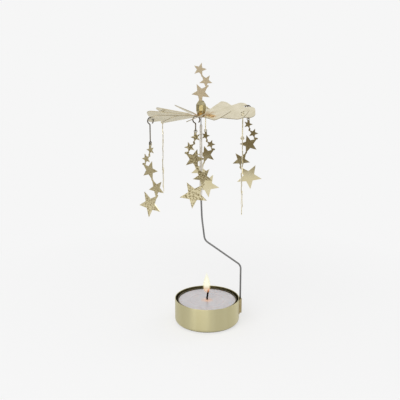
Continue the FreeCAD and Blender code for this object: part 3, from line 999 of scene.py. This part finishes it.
def seen_directly(tree):
    """1 for camera, glossy and transmission rays, else 0."""
    path = tree.nodes.new("ShaderNodeLightPath").outputs
    return largest(tree, path["Is Camera Ray"], path["Is Glossy Ray"], path["Is Transmission Ray"])


print("ray helpers ready")

# %% [markdown]
# Metal looks like metal only if it has something dark to mirror. We make as if the studio were dark behind the
# camera and a grey flag stood at the left: in reflections, our paper floor is toned down in those two places.
# Real dark cards would do it too, but would cast shadows. Both are fixed places on the floor, with soft edges.

# %% Dark places on the floor
ROOM = screen(130, 121, 102)
ROOM_FROM = 0.455
ROOM_EDGE = 0.03
FLAG_FROM = 0.30
FLAG_EDGE = 0.1
FLAG_TONE = 0.64
FLAG_NEAR = 0.1
FLAG_FAR = 0.25


def mirrored_tone(tree, place):
    """Colour of the paper, with the dark room and the flag in it for glossy rays."""
    room = remap(tree, place["Y"], 1, 0, -ROOM_FROM - ROOM_EDGE, -ROOM_FROM)
    flag = product(tree, remap(tree, place["X"], FLAG_TONE, 0, -FLAG_FROM - FLAG_EDGE, -FLAG_FROM),
                   remap(tree, place["Y"], 1, 0, FLAG_NEAR, FLAG_FAR))
    mirrored = tree.nodes.new("ShaderNodeLightPath").outputs["Is Glossy Ray"]
    return blend(tree, product(tree, largest(tree, room, flag), mirrored), PAPER, ROOM)


print("dark room from", ROOM_FROM, "m in front, flag from", FLAG_FROM, "m at the left")

# %% [markdown]
# The floor mixes that plain colour with a diffuse surface. Close to the cup a good part is diffuse, so that
# the cup keeps its soft shadow, and further out the share falls to nothing, so no edge shows. From below the
# floor is clear, which lets the underside be looked at.

# %% Floor
FLOOR_HALF = 3.0
NEAR = 60 * MM
FAR = 220 * MM
NEAR_SHARE = 0.6


def floor_finish():
    material, tree, output = empty_material("paper_floor")
    coordinates = tree.nodes.new("ShaderNodeTexCoord").outputs["Object"]
    split = tree.nodes.new("ShaderNodeSeparateXYZ")
    length = tree.nodes.new("ShaderNodeVectorMath")
    length.operation = "LENGTH"
    tree.links.new(coordinates, length.inputs[0])
    tree.links.new(coordinates, split.inputs["Vector"])
    diffuse = tree.nodes.new("ShaderNodeBsdfDiffuse")
    diffuse.inputs["Color"].default_value = PAPER
    paper = tree.nodes.new("ShaderNodeEmission")
    tree.links.new(mirrored_tone(tree, split.outputs), paper.inputs["Color"])
    share = product(tree, seen_directly(tree), remap(tree, length.outputs["Value"], NEAR_SHARE, 1, NEAR, FAR))
    top = tree.nodes.new("ShaderNodeMixShader")
    tree.links.new(share, top.inputs["Fac"])
    tree.links.new(diffuse.outputs["BSDF"], top.inputs[1])
    tree.links.new(paper.outputs["Emission"], top.inputs[2])
    under = tree.nodes.new("ShaderNodeMixShader")
    clear = tree.nodes.new("ShaderNodeBsdfTransparent")
    tree.links.new(tree.nodes.new("ShaderNodeNewGeometry").outputs["Backfacing"], under.inputs["Fac"])
    tree.links.new(top.outputs["Shader"], under.inputs[1])
    tree.links.new(clear.outputs["BSDF"], under.inputs[2])
    tree.links.new(under.outputs["Shader"], output.inputs["Surface"])
    return material


floor_builder = bmesh.new()
bmesh.ops.create_grid(floor_builder, x_segments=1, y_segments=1, size=FLOOR_HALF)
floor = keep_mesh("paper", floor_builder, [floor_finish()])
print("floor is", 2 * FLOOR_HALF, "m wide")

# %% [markdown]
# The world is the rest of the studio. It shows the same paper to the rays that see it, and to all others it is
# an even, white fill light, a good deal weaker, that keeps the shadows open. A picture of a studio as the
# world would light it as well, but would show its own windows and walls in every star.

# %% World
FILL = 0.66


def background(tree, colour, strength):
    node = tree.nodes.new("ShaderNodeBackground")
    node.inputs["Color"].default_value = colour
    node.inputs["Strength"].default_value = strength
    return node.outputs["Background"]


world = bpy.data.worlds.new("studio")
scene.world = world
world.use_nodes = True
sky = world.node_tree
sky.nodes.clear()
sky_output = sky.nodes.new("ShaderNodeOutputWorld")
sky_mix = sky.nodes.new("ShaderNodeMixShader")
sky.links.new(seen_directly(sky), sky_mix.inputs["Fac"])
sky.links.new(background(sky, (1, 1, 1, 1), FILL), sky_mix.inputs[1])
sky.links.new(background(sky, PAPER, 1.0), sky_mix.inputs[2])
sky.links.new(sky_mix.outputs["Shader"], sky_output.inputs["Surface"])
print("world fills with", FILL)

# %% [markdown]
# Two large soft lamps do the rest. The key lamp stands high behind the camera, to its left, and a weaker one
# behind the object to the right, which parts the cup's right side from the floor. They are broad, because a
# small lamp would burn a white spot into every star that mirrors it. Area lamps do this better than suns or
# points, which have no width to mirror.

# %% Lamps
AIM = Vector((0, 0, 80)) * MM


def soft_lamp(name, place, size, power):
    """Rectangular lamp that looks at the middle of the object."""
    data = bpy.data.lights.new(name, "AREA")
    data.shape = "RECTANGLE"
    data.size = size[0]
    data.size_y = size[1]
    data.energy = power
    lamp = bpy.data.objects.new(name, data)
    lamp.location = place
    lamp.rotation_euler = (AIM - Vector(place)).to_track_quat("-Z", "Y").to_euler()
    lamp.visible_camera = False
    scene.collection.objects.link(lamp)
    print(name, "of", power, "W")


soft_lamp("key_lamp", (-0.34, -0.72, 0.60), (1.1, 0.9), 6.0)
soft_lamp("side_lamp", (0.65, 0.4, 0.4), (0.3, 0.6), 0.7)
